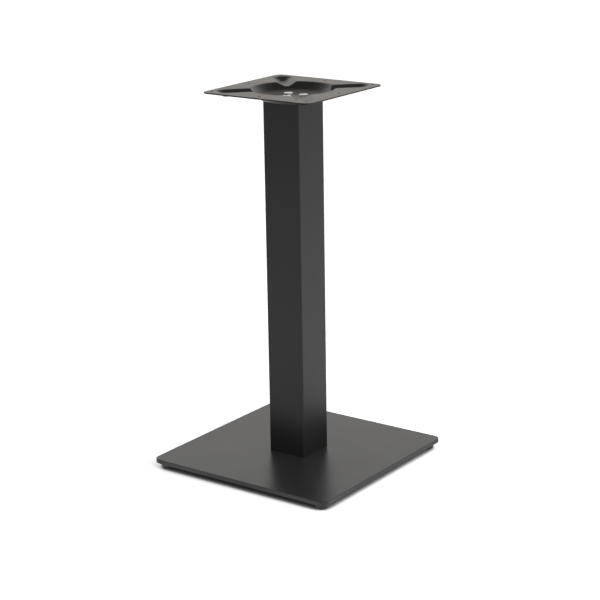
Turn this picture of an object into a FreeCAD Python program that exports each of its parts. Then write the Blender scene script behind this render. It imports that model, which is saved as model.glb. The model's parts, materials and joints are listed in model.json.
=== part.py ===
import FreeCAD, Part
import math
import os
from FreeCAD import Vector

# Square pedestal table leg: a flat square base plate on four screw-in feet, a square tube
# column, and a pressed square top plate that a table top is screwed to.
# Units are millimetres. The floor is Z = 0, and the column stands on the Z axis.
# The front is -Y. Every part is written as one STEP file, where it sits in the assembly.

# Overall
overall_height = 720.0

# Base plate
base_side = 400.0
base_thickness = 8.0
base_corner_radius = 15.0
base_edge_round = 0.8

# Feet: a threaded stud with a collar, moulded into a round pad
foot_clearance = 12.0
foot_inset = 20.0
pad_radius = 12.25
pad_top_gap = 0.3
pad_floor = 2.5
pad_lower_round = 2.0
pad_upper_chamfer = 0.6
stud_radius = 4.0
stud_collar_radius = 6.5
stud_collar_height = 3.0
stud_end_chamfer = 0.8
base_skin_over_stud = 1.5
stud_tip_gap = 0.5
collar_axial_gap = 0.1

# Column tube and the two tapped plates welded inside its ends
column_side = 80.0
column_wall = 2.0
column_corner_radius = 3.0
end_plate_thickness = 10.0
end_plate_corner_chamfer = 1.5

# Top plate: flange, dish, ribs and screw holes
top_side = 240.0
top_corner_radius = 15.0
sheet = 2.5
top_edge_round = 0.5
dish_depth = 17.5
dish_floor_radius = 58.0
dish_mouth_radius = 78.5
dish_floor_bend = 10.0
dish_mouth_bend = 7.0
screw_hole_radius = 2.75
corner_hole_inset = 15.0
edge_hole_inset = 18.0

# Ribs pressed along the diagonals, each from the dish to a round end beside its corner screw hole
rib_depth = 7.5
rib_floor_half_width = 4.0
rib_mouth_half_width = 19.5
rib_floor_bend = 6.0
rib_mouth_bend = 6.0
rib_to_screw_gap = 2.5
rib_length_into_dish = 30.0

# Fasteners: M10 hexagon bolts, and plain washers under the base
bolt_radius = 5.0
base_bolt_length = 20.0
top_bolt_length = 16.0
bolt_head_across_flats = 16.0
bolt_head_height = 6.4
bolt_head_chamfer_degrees = 30.0
bolt_tip_chamfer = 1.0
washer_radius = 10.0
washer_thickness = 2.0
base_bolt_spacing = 50.0
top_bolt_circle_radius = 20.0
top_bolt_angles = (30.0, 150.0, 270.0)

# Clearances, all on the radius
thread_clearance = 0.05
washer_clearance = 0.2
bolt_hole_clearance = 0.5

# Heights worked out from the sizes above
base_underside = foot_clearance
base_top = base_underside + base_thickness
dish_floor_top = overall_height - dish_depth
column_top = dish_floor_top - sheet
flange_underside = overall_height - sheet

UP = Vector(0, 0, 1)

# Two lengths that differ by less than this count as equal
same_length = 1e-3


def turned(outline):
    """Solid of revolution about the Z axis from a closed outline of (radius, height) corners."""
    corners = [Vector(radius, 0, height) for radius, height in outline]
    corners.append(corners[0])
    return Part.Face(Part.makePolygon(corners)).revolve(Vector(0, 0, 0), UP, 360)


def placed(shape, x, y, z=0.0):
    """A copy of a shape moved by x, y and z."""
    moved = shape.copy()
    moved.translate(Vector(x, y, z))
    return moved


def square_block(side, bottom, height):
    """An upright square block about the Z axis, with its four upright edges."""
    block = Part.makeBox(side, side, height, Vector(-side / 2, -side / 2, bottom))
    upright = [edge for edge in block.Edges if edge.BoundBox.ZLength > height - same_length]
    return block, upright


def square_prism(side, corner_radius, bottom, height):
    """An upright square block about the Z axis with rounded corners."""
    block, upright = square_block(side, bottom, height)
    return block.makeFillet(corner_radius, upright)


def hole(radius, x, y, bottom, height):
    """A round cutter that stands on the given height."""
    return Part.makeCylinder(radius, height, Vector(x, y, bottom))


def four_corners(distance):
    """The four places at plus and minus a distance, from front left round to back left."""
    return [(-distance, -distance), (distance, -distance), (distance, distance), (-distance, distance)]


def edges_at_height(shape, height):
    """The edges of a shape that lie flat at one height."""
    found = []
    for edge in shape.Edges:
        box = edge.BoundBox
        if abs(box.ZMin - height) < same_length and abs(box.ZMax - height) < same_length:
            found.append(edge)
    return found


# Base plate

def make_base_plate():
    """Flat plate with eased edges, bolt holes under the column and blind tapped holes for the feet."""
    plate = square_prism(base_side, base_corner_radius, base_underside, base_thickness)
    rims = edges_at_height(plate, base_underside) + edges_at_height(plate, base_top)
    plate = plate.makeFillet(base_edge_round, rims)
    cutters = []
    for x, y in four_corners(base_bolt_spacing / 2):
        cutters.append(hole(bolt_radius + bolt_hole_clearance, x, y, base_underside, base_thickness))
    stud_hole_depth = base_thickness - base_skin_over_stud
    for x, y in four_corners(base_side / 2 - foot_inset):
        cutters.append(hole(stud_radius + thread_clearance, x, y, base_underside, stud_hole_depth))
    return plate.cut(cutters)


# Column

def make_column_tube():
    """Square tube with rounded corners inside and out, standing on the base plate."""
    length = column_top - base_top
    outside = square_prism(column_side, column_corner_radius, base_top, length)
    inner_side = column_side - 2 * column_wall
    inside = square_prism(inner_side, column_corner_radius - column_wall, base_top, length)
    return outside.cut(inside)


def make_end_plate(bottom, bolt_places):
    """Thick plate that fills the tube's end, with cut corners and tapped holes for the bolts."""
    plate, upright = square_block(column_side - 2 * column_wall, bottom, end_plate_thickness)
    plate = plate.makeChamfer(end_plate_corner_chamfer, upright)
    cutters = []
    for x, y in bolt_places:
        cutters.append(hole(bolt_radius + thread_clearance, x, y, bottom, end_plate_thickness))
    return plate.cut(cutters)


# Top plate

def bend_arc(corner, incoming, outgoing, radius):
    """The start, middle and end of an arc that rounds a corner between two directions in section."""
    turn = abs(outgoing - incoming)
    tangent = radius * math.tan(turn / 2)
    start = corner - Vector(math.cos(incoming), 0, math.sin(incoming)) * tangent
    end = corner + Vector(math.cos(outgoing), 0, math.sin(outgoing)) * tangent
    side = 1 if outgoing > incoming else -1
    centre = start + Vector(-math.sin(incoming), 0, math.cos(incoming)) * radius * side
    to_middle = (corner - centre).normalize()
    return start, centre + to_middle * radius, end


def press_section(floor, mouth, depth, floor_bend, mouth_bend, skin):
    """Half the section of a pressed form, from its middle out: floor, bend, sloping wall, bend, brim.

    With skin 0 it is the space in the form, and its brim stands above the plate's face.
    With skin as the sheet's thickness it is the form's outer skin, and its brim is inside the flange.
    """
    slope = math.atan2(depth, mouth - floor)
    corner_shift = skin * math.tan(slope / 2)
    floor_corner = Vector(floor + corner_shift, 0, overall_height - depth - skin)
    mouth_corner = Vector(mouth + corner_shift, 0, overall_height - skin)
    floor_arc = bend_arc(floor_corner, 0, slope, floor_bend + skin)
    mouth_arc = bend_arc(mouth_corner, slope, 0, mouth_bend - skin)
    brim_height = overall_height - skin / 2 if skin else overall_height + sheet
    brim = Vector(mouth_arc[2].x, 0, brim_height)
    brim_middle = Vector(0, 0, brim_height)
    floor_middle = Vector(0, 0, floor_corner.z)
    section = [
        Part.makeLine(floor_middle, floor_arc[0]),
        Part.Arc(*floor_arc).toShape(),
        Part.makeLine(floor_arc[2], mouth_arc[0]),
        Part.Arc(*mouth_arc).toShape(),
        Part.makeLine(mouth_arc[2], brim),
        Part.makeLine(brim, brim_middle),
        Part.makeLine(brim_middle, floor_middle),
    ]
    return Part.Face(Part.Wire(section))


def dish_solid(skin):
    """The dish turned about the column's axis."""
    section = press_section(
        dish_floor_radius, dish_mouth_radius, dish_depth, dish_floor_bend, dish_mouth_bend, skin
    )
    return section.revolve(Vector(0, 0, 0), UP, 360)


def rib_solid(skin):
    """One rib along +Y: a straight trough out of the dish, with a half-round end."""
    half = press_section(
        rib_floor_half_width, rib_mouth_half_width, rib_depth, rib_floor_bend, rib_mouth_bend, skin
    )
    slope = math.atan2(rib_depth, rib_mouth_half_width - rib_floor_half_width)
    mouth_edge = rib_mouth_half_width + rib_mouth_bend * math.tan(slope / 2)
    screw_distance = (top_side / 2 - corner_hole_inset) * math.sqrt(2)
    end_centre = screw_distance - screw_hole_radius - rib_to_screw_gap - mouth_edge
    start = dish_mouth_radius - rib_length_into_dish
    trough_side = placed(half, 0, start).extrude(Vector(0, end_centre - start, 0))
    other_side = trough_side.mirror(Vector(0, 0, 0), Vector(1, 0, 0))
    round_end = placed(half, 0, end_centre).revolve(Vector(0, end_centre, 0), UP, 180)
    return trough_side.fuse([other_side, round_end]).removeSplitter()


def along_diagonals(shape):
    """Four copies of a shape that lies along +Y, turned onto the plate's diagonals."""
    copies = []
    for quarter in range(4):
        copy = shape.copy()
        copy.rotate(Vector(0, 0, 0), UP, 45 + 90 * quarter)
        copies.append(copy)
    return copies


def pressed_form(skin):
    """The dish and its four ribs as one solid."""
    return dish_solid(skin).fuse(along_diagonals(rib_solid(skin))).removeSplitter()


def top_bolt_places():
    """The three bolt places on their circle in the dish's floor."""
    places = []
    for angle in top_bolt_angles:
        turn = math.radians(angle)
        places.append((top_bolt_circle_radius * math.cos(turn), top_bolt_circle_radius * math.sin(turn)))
    return places


def make_top_plate():
    """One pressed sheet: square flange, round dish, four ribs, eight screw holes, three bolt holes."""
    plate = square_prism(top_side, top_corner_radius, flange_underside, sheet)
    rims = edges_at_height(plate, flange_underside) + edges_at_height(plate, overall_height)
    plate = plate.makeFillet(top_edge_round, rims)
    plate = plate.fuse(pressed_form(sheet)).cut(pressed_form(0.0))
    middle = top_side / 2 - edge_hole_inset
    screw_places = four_corners(top_side / 2 - corner_hole_inset)
    screw_places += [(0, -middle), (middle, 0), (0, middle), (-middle, 0)]
    cutters = []
    for x, y in screw_places:
        cutters.append(hole(screw_hole_radius, x, y, flange_underside, sheet))
    for x, y in top_bolt_places():
        cutters.append(hole(bolt_radius + bolt_hole_clearance, x, y, column_top, sheet))
    return plate.cut(cutters).removeSplitter()


# Fasteners

def make_bolt(length):
    """Hexagon bolt standing head up, with the head's underside at Z = 0."""
    across_corners = bolt_head_across_flats / math.cos(math.radians(30))
    corners = []
    for corner in range(7):
        angle = math.radians(60 * corner)
        x = across_corners / 2 * math.cos(angle)
        y = across_corners / 2 * math.sin(angle)
        corners.append(Vector(x, y, 0))
    head = Part.Face(Part.makePolygon(corners)).extrude(UP * bolt_head_height)
    corner_overhang = (across_corners - bolt_head_across_flats) / 2
    chamfer_height = corner_overhang * math.tan(math.radians(bolt_head_chamfer_degrees))
    flat_radius = bolt_head_across_flats / 2
    crown = turned([
        (0, 0),
        (across_corners / 2, 0),
        (across_corners / 2, bolt_head_height - chamfer_height),
        (flat_radius, bolt_head_height),
        (0, bolt_head_height),
    ])
    shank = turned([
        (0, 0),
        (bolt_radius, 0),
        (bolt_radius, bolt_tip_chamfer - length),
        (bolt_radius - bolt_tip_chamfer, -length),
        (0, -length),
    ])
    return head.common(crown).fuse(shank).removeSplitter()


def make_washer():
    """Plain washer standing on Z = 0."""
    ring = Part.makeCylinder(washer_radius, washer_thickness)
    return ring.cut(Part.makeCylinder(bolt_radius + washer_clearance, washer_thickness))


# Feet

def make_stud():
    """Threaded stud with a round collar at its lower end, at its height in the assembly."""
    bottom = pad_floor + collar_axial_gap
    collar_top = bottom + stud_collar_height
    top = base_top - base_skin_over_stud - stud_tip_gap
    return turned([
        (0, bottom),
        (stud_collar_radius, bottom),
        (stud_collar_radius, collar_top),
        (stud_radius, collar_top),
        (stud_radius, top - stud_end_chamfer),
        (stud_radius - stud_end_chamfer, top),
        (0, top),
    ])


def make_pad():
    """Round moulded pad on the floor, with a cavity that holds the stud's collar."""
    top = base_underside - pad_top_gap
    body = Part.makeCylinder(pad_radius, top)
    body = body.makeFillet(pad_lower_round, edges_at_height(body, 0))
    body = body.makeChamfer(pad_upper_chamfer, edges_at_height(body, top))
    cavity_top = pad_floor + stud_collar_height + 2 * collar_axial_gap
    cavity = turned([
        (0, pad_floor),
        (stud_collar_radius + thread_clearance, pad_floor),
        (stud_collar_radius + thread_clearance, cavity_top),
        (stud_radius + thread_clearance, cavity_top),
        (stud_radius + thread_clearance, top),
        (0, top),
    ])
    return body.cut(cavity)


def build():
    """Every part of the leg by name."""
    parts = {
        "base_plate": make_base_plate(),
        "column_tube": make_column_tube(),
        "column_foot_plate": make_end_plate(base_top, four_corners(base_bolt_spacing / 2)),
        "column_head_plate": make_end_plate(column_top - end_plate_thickness, top_bolt_places()),
        "top_plate": make_top_plate(),
    }
    washer = make_washer()
    base_bolt = make_bolt(base_bolt_length)
    base_bolt.rotate(Vector(0, 0, 0), Vector(1, 0, 0), 180)
    washer_bottom = base_underside - washer_thickness
    for number, (x, y) in enumerate(four_corners(base_bolt_spacing / 2), 1):
        parts[f"base_washer_{number}"] = placed(washer, x, y, washer_bottom)
        parts[f"base_bolt_{number}"] = placed(base_bolt, x, y, washer_bottom)
    top_bolt = make_bolt(top_bolt_length)
    for number, (x, y) in enumerate(top_bolt_places(), 1):
        parts[f"top_bolt_{number}"] = placed(top_bolt, x, y, dish_floor_top)
    stud = make_stud()
    pad = make_pad()
    foot_names = ("front_left", "front_right", "back_right", "back_left")
    for name, (x, y) in zip(foot_names, four_corners(base_side / 2 - foot_inset)):
        parts[f"foot_stud_{name}"] = placed(stud, x, y)
        parts[f"foot_pad_{name}"] = placed(pad, x, y)
    return parts


os.makedirs("parts", exist_ok=True)
for part_name, solid in build().items():
    solid.exportStep(os.path.join("parts", part_name + ".step"))
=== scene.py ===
import json
import math

import bmesh
import bpy
from mathutils import Matrix, Vector

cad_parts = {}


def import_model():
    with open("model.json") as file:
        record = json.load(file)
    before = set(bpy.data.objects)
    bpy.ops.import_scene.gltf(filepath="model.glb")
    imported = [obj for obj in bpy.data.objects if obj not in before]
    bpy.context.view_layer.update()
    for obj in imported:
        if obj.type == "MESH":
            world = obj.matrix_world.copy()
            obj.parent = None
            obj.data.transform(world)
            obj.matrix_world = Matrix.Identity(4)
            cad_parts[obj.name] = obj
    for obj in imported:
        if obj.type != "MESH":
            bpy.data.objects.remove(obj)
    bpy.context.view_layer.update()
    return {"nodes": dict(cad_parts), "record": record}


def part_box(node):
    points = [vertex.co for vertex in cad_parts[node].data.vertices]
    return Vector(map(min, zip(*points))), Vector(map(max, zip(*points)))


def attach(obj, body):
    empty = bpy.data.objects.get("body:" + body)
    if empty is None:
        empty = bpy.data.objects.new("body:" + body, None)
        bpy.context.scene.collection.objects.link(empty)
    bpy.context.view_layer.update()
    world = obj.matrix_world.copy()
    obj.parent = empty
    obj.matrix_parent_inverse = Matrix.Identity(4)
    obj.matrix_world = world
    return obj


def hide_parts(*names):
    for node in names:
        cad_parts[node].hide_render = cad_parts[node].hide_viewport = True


# Looks of a square pedestal table leg: black powder coat on the base, column and top plate,
# bright zinc fasteners, and moulded plastic feet. Lengths are metres, in the frame's axes.

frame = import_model()
nodes = frame["nodes"]


# Node helpers

class Shader:
    """A material's or world's node tree, with short calls that add and link its nodes."""

    def __init__(self, name, holder=None):
        self.material = holder or bpy.data.materials.new(name)
        self.material.use_nodes = True
        self.tree = self.material.node_tree
        self.surface = self.tree.nodes.get("Principled BSDF")
        self.output = self.tree.nodes.get("Material Output") or self.tree.nodes["World Output"]
        coordinates = self.tree.nodes.new("ShaderNodeTexCoord")
        self.place = coordinates.outputs["Object"]
        self.direction = coordinates.outputs["Generated"]

    def add(self, kind, **values):
        """A new node. A value's name is a property, or an input's name with underscores for spaces."""
        made = self.tree.nodes.new("ShaderNode" + kind)
        for key, value in values.items():
            if key in made.bl_rna.properties:
                setattr(made, key, value)
                continue
            self.feed(made.inputs[key.replace("_", " ")], value)
        return made

    def feed(self, socket, value):
        """Sets a socket to a number or colour, or links it to another node's output."""
        if isinstance(value, bpy.types.NodeSocket):
            self.tree.links.new(value, socket)
        else:
            socket.default_value = value

    def noise(self, size, detail=3.0, roughness=0.5, place=None):
        """Noise whose features are about size metres across."""
        made = self.add("TexNoise", Scale=1.0 / size, Detail=detail, Roughness=roughness)
        self.feed(made.inputs["Vector"], place or self.place)
        return made.outputs["Fac"]

    def spread(self, value, low, high, start=0.3, end=0.7):
        """Maps a texture's start..end onto low..high."""
        made = self.add("MapRange", Value=value)
        self.feed(made.inputs["From Min"], start)
        self.feed(made.inputs["From Max"], end)
        self.feed(made.inputs["To Min"], low)
        self.feed(made.inputs["To Max"], high)
        return made.outputs["Result"]

    def math(self, operation, first, second):
        """One operation on two numbers."""
        made = self.add("Math", operation=operation)
        self.feed(made.inputs[0], first)
        self.feed(made.inputs[1], second)
        return made.outputs[0]

    def mix(self, share, first, second):
        """A number between two numbers."""
        made = self.add("Mix", data_type="FLOAT")
        self.feed(made.inputs[0], share)
        self.feed(made.inputs[2], first)
        self.feed(made.inputs[3], second)
        return made.outputs[0]

    def pick(self, share, first, second):
        """A shader between two shaders."""
        made = self.add("MixShader")
        self.feed(made.inputs[0], share)
        self.feed(made.inputs[1], first)
        self.feed(made.inputs[2], second)
        return made.outputs[0]

    def blend(self, share, first, second):
        """A colour between two colours."""
        made = self.add("Mix", data_type="RGBA")
        self.feed(made.inputs[0], share)
        self.feed(made.inputs[6], first)
        self.feed(made.inputs[7], second)
        return made.outputs[2]

    def bump(self, height, depth, strength=1.0, normal=None):
        """A bump whose height texture, from 0 to 1, stands for depth metres."""
        made = self.add("Bump", Strength=strength, Distance=depth, Height=height)
        if normal is not None:
            self.feed(made.inputs["Normal"], normal)
        return made.outputs["Normal"]


def grey(level, warmth=0.0):
    """A linear grey, warmer when warmth is above 0."""
    return (level * (1 + warmth), level, level * (1 - warmth), 1.0)


# Powder coat: grain, slow wave, uneven colour, rub marks along one direction, specks, and a painted
# highlight where asked

GRAIN_SIZE = 0.0007
GRAIN_HEIGHT = 0.00002
WAVE_SIZE = 0.006
WAVE_HEIGHT = 0.00004
CLOUD_SIZE = 0.09
CLOUD_CONTRAST = 0.12
CLOUD_GLOSS = 0.02
RUB_SIZE = 0.05
RUB_TURN = math.radians(25.0)
RUB_SQUEEZE = (1.0, 9.0, 3.0)
RUB_SHARE = 0.35
RUB_PALENESS = 2.0
RUB_GLOSS = 0.05
SPECK_SIZE = 0.0016
SPECK_SHARE = 0.5
SPECK_COLOUR = grey(0.09, 0.05)
# The paler, warmer colour of the painted highlight on the dish's floor.
DISH_HIGHLIGHT_COLOUR = grey(0.125, 0.07)
COAT_IOR = 1.5

SHEET_THICKNESS = 0.0025
DISH_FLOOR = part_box("top_plate")[0][2] + SHEET_THICKNESS
# Heights above the dish's floor where the painted highlight is full, and where it has faded out.
HIGHLIGHT_FULL_HEIGHT = 0.0005
HIGHLIGHT_END_HEIGHT = 0.006


def powder_coat(name, level, warmth, roughness, specular, painted_highlight=None):
    """Satin black powder coat: fine grain over a slow orange-peel wave, with faint rub marks and specks.

    The last argument, when given, is a function that gives the share of a painted highlight, a paler and
    warmer colour, at each place.
    """
    s = Shader(name)
    grain = s.noise(GRAIN_SIZE, detail=2.0)
    wave = s.noise(WAVE_SIZE, detail=1.0)
    cloud = s.noise(CLOUD_SIZE, detail=4.0, roughness=0.6)
    along = s.add("Mapping", Rotation=(0.0, 0.0, RUB_TURN), Scale=RUB_SQUEEZE)
    s.feed(along.inputs["Vector"], s.place)
    streaks = s.noise(RUB_SIZE, detail=5.0, roughness=0.65, place=along.outputs[0])
    rubs = s.spread(streaks, 0.0, 1.0, 0.60, 0.72)
    specks = s.spread(s.noise(SPECK_SIZE, detail=2.0), 0.0, 1.0, 0.70, 0.74)
    darker = grey(level * (1 - CLOUD_CONTRAST), warmth)
    paler = grey(level * (1 + CLOUD_CONTRAST), warmth)
    colour = s.blend(s.spread(cloud, 0.0, 1.0), darker, paler)
    colour = s.blend(s.math("MULTIPLY", rubs, RUB_SHARE), colour, grey(level * RUB_PALENESS, warmth))
    colour = s.blend(s.math("MULTIPLY", specks, SPECK_SHARE), colour, SPECK_COLOUR)
    if painted_highlight:
        colour = s.blend(painted_highlight(s, cloud), colour, DISH_HIGHLIGHT_COLOUR)
    gloss = s.spread(cloud, roughness - CLOUD_GLOSS, roughness + CLOUD_GLOSS)
    normal = s.bump(grain, GRAIN_HEIGHT)
    normal = s.bump(wave, WAVE_HEIGHT, normal=normal)
    s.feed(s.surface.inputs["Base Color"], colour)
    s.feed(s.surface.inputs["Roughness"], s.math("ADD", gloss, s.math("MULTIPLY", rubs, RUB_GLOSS)))
    s.feed(s.surface.inputs["Normal"], normal)
    s.surface.inputs["IOR"].default_value = COAT_IOR
    s.surface.inputs["Specular IOR Level"].default_value = specular
    return s.material


def painted_dish_highlight(s, cloud):
    """A painted highlight on the dish's floor: a paler, warmer colour in faint patches, which thins out up
    its wall.
    """
    parts = s.add("SeparateXYZ")
    s.feed(parts.inputs[0], s.place)
    above_floor = s.math("SUBTRACT", parts.outputs["Z"], DISH_FLOOR)
    share = s.spread(above_floor, 1.0, 0.0, HIGHLIGHT_FULL_HEIGHT, HIGHLIGHT_END_HEIGHT)
    return s.math("MULTIPLY", share, s.spread(cloud, 0.75, 1.0))


# Zinc plate, bare steel and plastic: sizes and heights of their marks, and their darker and paler colours

ZINC_CLOUD_SIZE = 0.004
ZINC_GRAIN_SIZE = 0.0006
ZINC_GRAIN_HEIGHT = 0.00001
ZINC_RING_SCALE = 14.0
ZINC_RING_HEIGHT = 0.000012
ZINC_DARKER = (0.60, 0.61, 0.62, 1.0)
ZINC_PALER = (0.74, 0.74, 0.72, 1.0)
MILL_SCALE_SIZE = 0.01
MILL_SCALE_HEIGHT = 0.00006
STEEL_DARKER = (0.20, 0.19, 0.18, 1.0)
STEEL_PALER = (0.36, 0.35, 0.34, 1.0)
PLASTIC_GRAIN_SIZE = 0.0005
PLASTIC_GRAIN_HEIGHT = 0.00004
PLASTIC_CLOUD_SIZE = 0.01
PLASTIC_DARKER = grey(0.006)
PLASTIC_PALER = grey(0.009)


def zinc_steel():
    """Bright zinc plate on steel, with turning marks round each piece's axis and uneven brightness."""
    s = Shader("zinc_steel")
    cloud = s.noise(ZINC_CLOUD_SIZE, detail=3.0)
    centred = s.add("VectorMath", operation="SUBTRACT")
    s.feed(centred.inputs[0], s.direction)
    s.feed(centred.inputs[1], (0.5, 0.5, 0.5))
    rings = s.add("TexWave", wave_type="RINGS", rings_direction="Z", Distortion=1.5, Detail=2.0)
    s.feed(rings.inputs["Scale"], ZINC_RING_SCALE)
    s.feed(rings.inputs["Vector"], centred.outputs[0])
    normal = s.bump(s.noise(ZINC_GRAIN_SIZE), ZINC_GRAIN_HEIGHT)
    normal = s.bump(rings.outputs["Fac"], ZINC_RING_HEIGHT, normal=normal)
    s.feed(s.surface.inputs["Base Color"], s.blend(s.spread(cloud, 0.0, 1.0), ZINC_DARKER, ZINC_PALER))
    s.surface.inputs["Metallic"].default_value = 1.0
    s.feed(s.surface.inputs["Roughness"], s.spread(cloud, 0.24, 0.34))
    s.feed(s.surface.inputs["Normal"], normal)
    return s.material


def bare_steel():
    """Sawn mild steel with mill scale, inside the column's ends."""
    s = Shader("bare_steel")
    cloud = s.noise(MILL_SCALE_SIZE, detail=5.0)
    s.feed(s.surface.inputs["Base Color"], s.blend(s.spread(cloud, 0.0, 1.0), STEEL_DARKER, STEEL_PALER))
    s.surface.inputs["Metallic"].default_value = 1.0
    s.feed(s.surface.inputs["Roughness"], s.spread(cloud, 0.38, 0.55))
    s.feed(s.surface.inputs["Normal"], s.bump(cloud, MILL_SCALE_HEIGHT))
    return s.material


def black_plastic():
    """Moulded black plastic with a fine spark-eroded grain."""
    s = Shader("black_plastic")
    grain = s.noise(PLASTIC_GRAIN_SIZE, detail=2.0)
    cloud = s.noise(PLASTIC_CLOUD_SIZE, detail=2.0)
    s.feed(s.surface.inputs["Base Color"], s.blend(s.spread(cloud, 0.0, 1.0), PLASTIC_DARKER, PLASTIC_PALER))
    s.feed(s.surface.inputs["Roughness"], s.spread(cloud, 0.48, 0.58))
    s.feed(s.surface.inputs["Normal"], s.bump(grain, PLASTIC_GRAIN_HEIGHT))
    return s.material


# One finish for each material slot of the frame

MATERIALS = {
    "powder_coat": powder_coat("powder_coat", level=0.004, warmth=0.0, roughness=0.36, specular=0.5),
    "zinc_steel": zinc_steel(),
    "bare_steel": bare_steel(),
    "black_plastic": black_plastic(),
}

# The plates' coats, which differ a little from the column's: the base's copy is a paler black, which is
# painted light, and the top plate, which was coated by itself, is a warmer one, with a painted highlight on
# its dish's floor.
PLATE_COATS = {
    # Painted light: the base's copy is paler than the column's coat, as if more light fell on the base.
    "base_plate": powder_coat(
        "powder_coat_base_painted_light", level=0.024, warmth=0.0, roughness=0.325, specular=0.40,
    ),
    "top_plate": powder_coat(
        "powder_coat_top", level=0.007, warmth=0.06, roughness=0.36, specular=0.48, painted_highlight=painted_dish_highlight,
    ),
}


def dress_nodes():
    """Gives each CAD node the finish of its material slot, or its plate's own copy of the coat, which holds
    painted light.
    """
    for row in frame["record"]["subparts"]:
        piece = nodes[row["node"]]
        material = PLATE_COATS.get(row["node"]) or MATERIALS[row["material_slot"]]
        if not piece.data.materials:
            piece.data.materials.append(material)
        for index in range(len(piece.material_slots)):
            piece.material_slots[index].material = material


# Feet: each stud gets an M8 thread, and each pad its moulded form with a deep round underneath.
# Both stand for solids of the frame that are plain there. The cavity's floor and top are heights
# above the ground.

COLUMNS = 48
SHARP_ANGLE = math.radians(30)
THREAD_PITCH = 0.00125
THREAD_DEPTH = 0.00068
THREAD_ROWS_PER_TURN = 8
THREAD_SLOPE = 1.3
THREAD_CREST = 0.15
STUD_RADIUS = 0.0040
STUD_COLLAR_RADIUS = 0.0065
STUD_COLLAR_HEIGHT = 0.0030
STUD_COLLAR_ROUND = 0.0003
STUD_TIP_CHAMFER = 0.0008
PAD_ROUND = 0.0050
PAD_ROUND_STEPS = 10
PAD_RECESS_RADIUS = 0.0050
PAD_RECESS_DEPTH = 0.0006
PAD_GROOVE_DROP = 0.0024
PAD_GROOVE_DEPTH = 0.00018
PAD_CHAMFER = 0.0006
PAD_HOLE_RADIUS = 0.00405
PAD_CAVITY_RADIUS = 0.00655
PAD_CAVITY_FLOOR = 0.0025
PAD_CAVITY_TOP = 0.0057


def turned_piece(name, node, body, slot, rows):
    """Stands for a node: rings round its axis, one for each (height, radius at a turn), with closed ends."""
    low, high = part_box(node)
    centre = [(low[axis] + high[axis]) / 2 for axis in (0, 1)]
    shape = bmesh.new()
    rings = []
    for height, radius_at in rows:
        ring = []
        for column in range(COLUMNS):
            turn = column / COLUMNS
            radius = radius_at(turn)
            angle = turn * math.tau
            place = (centre[0] + radius * math.cos(angle), centre[1] + radius * math.sin(angle), height)
            ring.append(shape.verts.new(place))
        rings.append(ring)
    for first, second in zip(rings, rings[1:]):
        for column in range(COLUMNS):
            beside = (column + 1) % COLUMNS
            shape.faces.new((first[column], first[beside], second[beside], second[column]))
    shape.faces.new(reversed(rings[0]))
    shape.faces.new(rings[-1])
    mesh = bpy.data.meshes.new(name)
    shape.to_mesh(mesh)
    shape.free()
    mesh.materials.append(MATERIALS[slot])
    mesh.set_sharp_from_angle(angle=SHARP_ANGLE)
    for face in mesh.polygons:
        face.use_smooth = True
    piece = bpy.data.objects.new(name, mesh)
    bpy.context.scene.collection.objects.link(piece)
    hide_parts(node)
    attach(piece, body)


def round_rows(outline):
    """Rings for an outline of (height, radius) corners that is the same all round."""
    return [(height, lambda turn, radius=radius: radius) for height, radius in outline]


def thread_radius(turn, height):
    """Radius of the thread at a turn from 0 to 1 round the axis and a height along it."""
    phase = (height / THREAD_PITCH - turn) % 1.0
    groove = min(max(abs(2 * phase - 1) * THREAD_SLOPE - THREAD_CREST, 0.0), 1.0)
    return STUD_RADIUS - THREAD_DEPTH * groove


def stud_rows(bottom, top):
    """The stud from its underside to its tip: collar, thread, and chamfered end."""
    collar_top = bottom + STUD_COLLAR_HEIGHT
    rows = round_rows((
        (bottom, STUD_COLLAR_RADIUS - STUD_COLLAR_ROUND),
        (bottom + STUD_COLLAR_ROUND, STUD_COLLAR_RADIUS),
        (collar_top - STUD_COLLAR_ROUND, STUD_COLLAR_RADIUS),
        (collar_top, STUD_COLLAR_RADIUS - STUD_COLLAR_ROUND),
    ))
    steps = round((top - collar_top) / (THREAD_PITCH / THREAD_ROWS_PER_TURN))
    for step in range(steps + 1):
        height = collar_top + (top - collar_top) * step / steps
        limit = STUD_RADIUS - max(0.0, height - (top - STUD_TIP_CHAMFER))

        def radius_at(turn, height=height, limit=limit):
            return min(limit, thread_radius(turn, height))

        rows.append((height, radius_at))
    return rows


def pad_rows(bottom, top, radius):
    """The pad from its underside, up its side, and down into the cavity that holds the stud's collar."""
    outline = [
        (bottom + PAD_RECESS_DEPTH, PAD_RECESS_RADIUS - PAD_RECESS_DEPTH),
        (bottom, PAD_RECESS_RADIUS),
    ]
    for step in range(PAD_ROUND_STEPS + 1):
        angle = math.pi / 2 * step / PAD_ROUND_STEPS
        outline.append((
            bottom + PAD_ROUND * (1 - math.cos(angle)),
            radius - PAD_ROUND * (1 - math.sin(angle)),
        ))
    groove = top - PAD_GROOVE_DROP
    outline += [
        (groove - PAD_GROOVE_DEPTH, radius),
        (groove, radius - PAD_GROOVE_DEPTH),
        (groove + PAD_GROOVE_DEPTH, radius),
        (top - PAD_CHAMFER, radius),
        (top, radius - PAD_CHAMFER),
        (top, PAD_HOLE_RADIUS),
        (PAD_CAVITY_TOP, PAD_HOLE_RADIUS),
        (PAD_CAVITY_TOP, PAD_CAVITY_RADIUS),
        (PAD_CAVITY_FLOOR, PAD_CAVITY_RADIUS),
    ]
    return round_rows(outline)


def threaded_stud(name):
    """One foot's stud."""
    low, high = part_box(f"foot_stud_{name}")
    rows = stud_rows(low[2], high[2])
    turned_piece(f"threaded_stud_{name}", f"foot_stud_{name}", f"foot_screw_{name}", "zinc_steel", rows)


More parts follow.
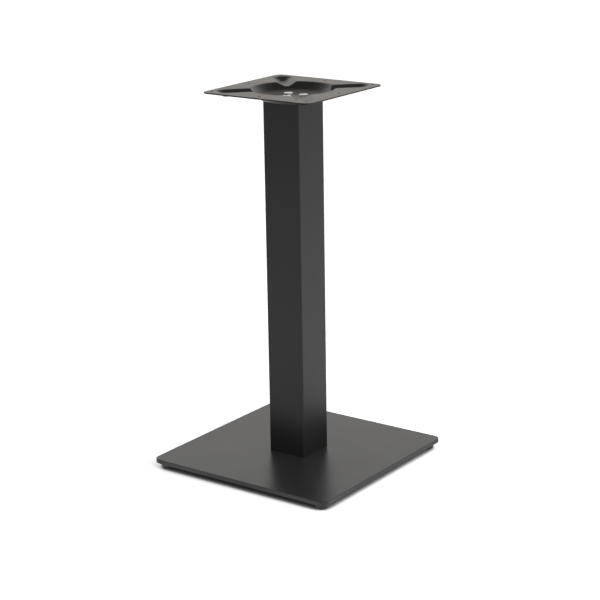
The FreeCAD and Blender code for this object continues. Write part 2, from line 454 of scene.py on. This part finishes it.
def moulded_pad(name):
    """One foot's pad."""
    low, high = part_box(f"foot_pad_{name}")
    rows = pad_rows(low[2], high[2], (high[0] - low[0]) / 2)
    turned_piece(f"moulded_pad_{name}", f"foot_pad_{name}", f"foot_{name}", "black_plastic", rows)


# Stage: a pale floor and a soft studio, brightest low down behind the leg. The floor and the sky
# each fade between two ramps of (place, level) stops: the floor's from its left to its right, by the
# distance from the leg, and the sky's from its front to its back, by the height.

BEHIND = math.radians(126.0)
RIGHT = math.radians(54.0)
RAMP_TOP = 2.0

FLOOR_HALF = 30.0
FLOOR_REACH = 6.0
FLOOR_LEFT = (
    (0.0, 0.55), (0.037, 0.80), (0.045, 1.65), (0.058, 0.72), (0.10, 0.80),
    (0.18, 0.92), (0.32, 0.78), (0.55, 0.47), (1.0, 0.34),
)
FLOOR_RIGHT = ((0.0, 0.95), (0.10, 1.12), (0.18, 1.10), (0.32, 0.96), (0.55, 0.74), (1.0, 0.62))
FLOOR_COLOUR = grey(0.80)
# The painted contact shadow: near the leg, ambient occlusion within SHADOW_REACH darkens the floor's colour
# to the camera from OPEN_LEVEL towards SHADOW_LEVEL.
SHADOW_REACH = 0.05
SHADOW_LEVEL = 0.26
OPEN_LEVEL = 2.40

SKY_FRONT = ((0.0, 0.50), (0.32, 0.62), (0.53, 0.64), (0.77, 0.54), (1.0, 0.26))
SKY_BACK = ((0.0, 0.95), (0.10, 1.06), (0.32, 1.60), (0.53, 1.12), (0.72, 0.20), (1.0, 0.26))
SKY_COLOUR = grey(0.80)
LOW_BEHIND_COLOUR = (0.91, 0.79, 0.66, 1.0)
WHITE = grey(1.0)

LAMP_PLACE = (3.45, -0.55, 1.95)
LAMP_AIM = (0.0, 0.0, 0.0)
LAMP_SIZE = 2.2
LAMP_POWER = 55.0


def ramp(s, value, stops):
    """Maps a value from 0 to 1 through (place, level) stops, for levels up to RAMP_TOP."""
    made = s.add("ValToRGB", Fac=value)
    band = made.color_ramp
    while len(band.elements) < len(stops):
        band.elements.new(0.5)
    for element, (place, level) in zip(band.elements, stops):
        element.position = place
        element.color = grey(level / RAMP_TOP)
    return s.math("MULTIPLY", made.outputs["Color"], RAMP_TOP)


def share_towards(s, direction, azimuth):
    """1 for directions towards an azimuth, and 0 for directions away from it."""
    flat = s.add("VectorMath", operation="MULTIPLY")
    s.feed(flat.inputs[0], direction)
    s.feed(flat.inputs[1], (1.0, 1.0, 0.0))
    unit = s.add("VectorMath", operation="NORMALIZE")
    s.feed(unit.inputs[0], flat.outputs[0])
    along = s.add("VectorMath", operation="DOT_PRODUCT")
    s.feed(along.inputs[0], unit.outputs[0])
    s.feed(along.inputs[1], (math.cos(azimuth), math.sin(azimuth), 0.0))
    return s.spread(along.outputs["Value"], 0.0, 1.0, -1.0, 1.0)


def floor():
    """A wide pale floor: white to the camera, with the leg's shadow from the lamps deepened by painted shade
    near the leg, and in reflections a soft glow.

    The glow comes from the two ramps, with a bright ring beside the base, and fades in painted shade near
    the leg.
    """
    mesh = bpy.data.meshes.new("floor")
    near, far = -FLOOR_HALF, FLOOR_HALF
    corners = [(near, near, 0), (far, near, 0), (far, far, 0), (near, far, 0)]
    mesh.from_pydata(corners, [], [(0, 1, 2, 3)])
    piece = bpy.data.objects.new("floor", mesh)
    bpy.context.scene.collection.objects.link(piece)
    s = Shader("floor_white")
    distance = s.add("VectorMath", operation="LENGTH")
    s.feed(distance.inputs[0], s.place)
    reach = s.math("DIVIDE", distance.outputs["Value"], FLOOR_REACH)
    left = ramp(s, reach, FLOOR_LEFT)
    right = ramp(s, reach, FLOOR_RIGHT)
    glow = s.mix(share_towards(s, s.place, RIGHT), left, right)
    openness = s.add("AmbientOcclusion", Distance=SHADOW_REACH).outputs["AO"]
    # Painted shade: the reflected glow dims with ambient occlusion near the leg.
    glow = s.math("MULTIPLY", glow, s.spread(openness, 0.1, 1.0, 0.06, 0.50))
    mirrored = s.add("Emission", Strength=glow)
    pale = s.add("BsdfDiffuse", Color=FLOOR_COLOUR)
    # Painted shadow: to the camera, the floor's colour darkens with ambient occlusion near the leg.
    seen = s.add("BsdfDiffuse", Color=s.spread(openness, SHADOW_LEVEL, OPEN_LEVEL, 0.18, 0.44))
    path = s.add("LightPath")
    matt = s.pick(path.outputs["Is Camera Ray"], pale.outputs[0], seen.outputs[0])
    s.feed(s.output.inputs["Surface"], s.pick(path.outputs["Is Glossy Ray"], matt, mirrored.outputs[0]))
    mesh.materials.append(s.material)


def world():
    """White to the camera. For everything else brightest and warm low behind the leg, and dim overhead."""
    scene = bpy.context.scene
    scene.world = bpy.data.worlds.new("studio")
    s = Shader("studio", scene.world)
    split = s.add("SeparateXYZ")
    s.feed(split.inputs[0], s.direction)
    height = split.outputs["Z"]
    front = ramp(s, height, SKY_FRONT)
    back = ramp(s, height, SKY_BACK)
    behind = share_towards(s, s.direction, BEHIND)
    low = s.spread(height, 1.0, 0.0, 0.08, 0.26)
    low_behind = s.math("MULTIPLY", s.spread(behind, 0.0, 1.0, 0.75, 0.97), low)
    tint = s.blend(low_behind, SKY_COLOUR, LOW_BEHIND_COLOUR)
    dome = s.add("Background", Color=tint, Strength=s.mix(behind, front, back))
    white = s.add("Background", Color=WHITE, Strength=1.0)
    path = s.add("LightPath")
    sky = s.pick(path.outputs["Is Camera Ray"], dome.outputs[0], white.outputs[0])
    s.feed(s.output.inputs["Surface"], sky)


def lamp():
    """A square soft box on the right, which points at the base."""
    data = bpy.data.lights.new("right", "AREA")
    data.size = LAMP_SIZE
    data.energy = LAMP_POWER
    piece = bpy.data.objects.new("right", data)
    bpy.context.scene.collection.objects.link(piece)
    piece.location = LAMP_PLACE
    sight = Vector(LAMP_AIM) - Vector(LAMP_PLACE)
    piece.rotation_euler = sight.to_track_quat("-Z", "Y").to_euler()


# Camera: fitted to the straight edges of the base, column and top plate in the photograph

CAMERA_PLACE = Vector((1.898400, -2.604201, 1.258002))
CAMERA_AZIMUTH = math.radians(35.972)
CAMERA_ELEVATION = math.radians(16.275)
CAMERA_ROLL = math.radians(-0.947)
SENSOR_MM = 36.0
LENS_MM = 106.679
VIEW_END = 100.0


def camera():
    """Stands at the photograph's viewpoint and looks along its view axis, with its slight roll."""
    data = bpy.data.cameras.new("camera")
    data.sensor_width = SENSOR_MM
    data.lens = LENS_MM
    data.clip_end = VIEW_END
    piece = bpy.data.objects.new("camera", data)
    bpy.context.scene.collection.objects.link(piece)
    level = math.cos(CAMERA_ELEVATION)
    back = Vector((
        math.sin(CAMERA_AZIMUTH) * level,
        -math.cos(CAMERA_AZIMUTH) * level,
        math.sin(CAMERA_ELEVATION),
    ))
    flat_right = Vector((math.cos(CAMERA_AZIMUTH), math.sin(CAMERA_AZIMUTH), 0))
    flat_up = back.cross(flat_right)
    right = flat_right * math.cos(CAMERA_ROLL) + flat_up * math.sin(CAMERA_ROLL)
    up = back.cross(right)
    turn = Matrix((right, up, back)).transposed().to_4x4()
    piece.matrix_world = Matrix.Translation(CAMERA_PLACE) @ turn
    bpy.context.scene.camera = piece


# The whole scene, piece by piece

dress_nodes()
for foot in ("front_left", "front_right", "back_right", "back_left"):
    threaded_stud(foot)
    moulded_pad(foot)
floor()
world()
lamp()
camera()
bpy.context.scene.view_settings.view_transform = "Standard"
